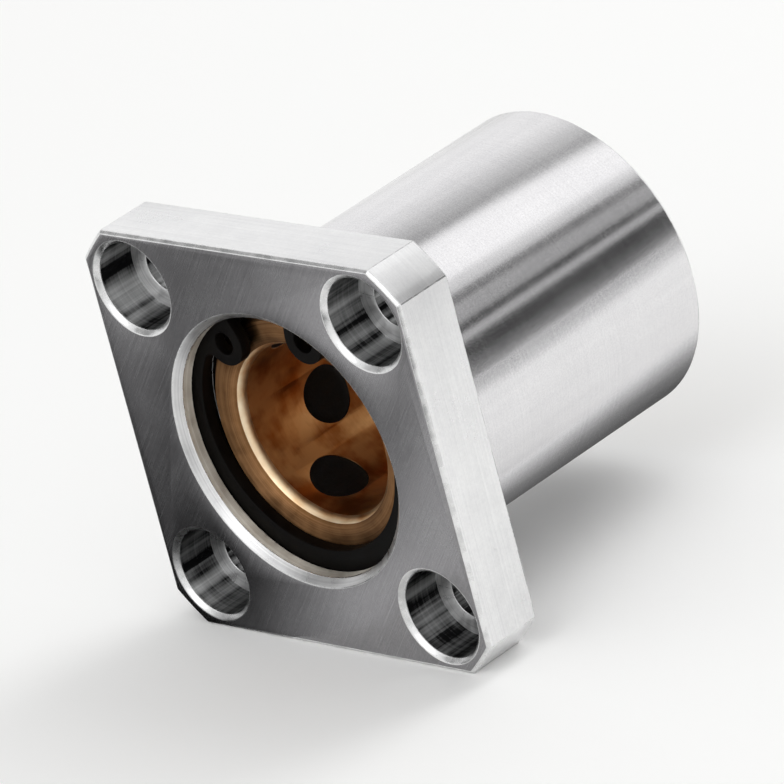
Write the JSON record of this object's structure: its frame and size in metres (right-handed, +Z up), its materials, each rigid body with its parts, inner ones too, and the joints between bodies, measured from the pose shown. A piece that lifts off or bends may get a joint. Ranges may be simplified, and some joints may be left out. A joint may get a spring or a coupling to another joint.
{
  "type": "square flange linear bearing",
  "caption": "Square flange bearing for a round shaft: a bronze sleeve with graphite plugs, held in a flanged steel housing by internal circlips, with counterbored screw holes.",
  "frame": {"origin": "on the shaft axis, in the plane of the flange's seating face, where the barrel leaves the flange", "axes": "+Y runs along the shaft axis towards the end of the barrel, the flange's front face looks to -Y, and +Z is up, square to the top side of the flange"},
  "size_m": [0.037, 0.037, 0.037],
  "materials": {
    "bearing_steel": "satin",
    "cast_bronze": "satin",
    "phosphated_spring_steel": "satin",
    "graphite": "matte"
  },
  "bodies": {
    "housing": {"flange_housing": "bearing_steel"},
    "sleeve": {"bronze_sleeve": "cast_bronze", "graphite_plug_01": "graphite", "graphite_plug_02": "graphite", "graphite_plug_03": "graphite", "graphite_plug_04": "graphite", "graphite_plug_05": "graphite", "graphite_plug_06": "graphite", "graphite_plug_07": "graphite", "graphite_plug_08": "graphite", "graphite_plug_09": "graphite", "graphite_plug_10": "graphite", "graphite_plug_11": "graphite", "graphite_plug_12": "graphite", "graphite_plug_13": "graphite", "graphite_plug_14": "graphite", "graphite_plug_15": "graphite", "graphite_plug_16": "graphite", "graphite_plug_17": "graphite", "graphite_plug_18": "graphite"},
    "front_ring": {"front_circlip": "phosphated_spring_steel"},
    "rear_ring": {"rear_circlip": "phosphated_spring_steel"}
  },
  "joints": [
    {"name": "sleeve_turn", "type": "hinge", "parent": "housing", "child": "sleeve", "pos_m": [0, 0, 0], "axis": [0, 1, 0], "continuous": true},
    {"name": "front_circlip_turn", "type": "hinge", "parent": "housing", "child": "front_ring", "pos_m": [0, -0.0036, 0], "axis": [0, 1, 0], "continuous": true},
    {"name": "rear_circlip_turn", "type": "hinge", "parent": "housing", "child": "rear_ring", "pos_m": [0, 0.0286, 0], "axis": [0, 1, 0], "continuous": true}
  ]
}
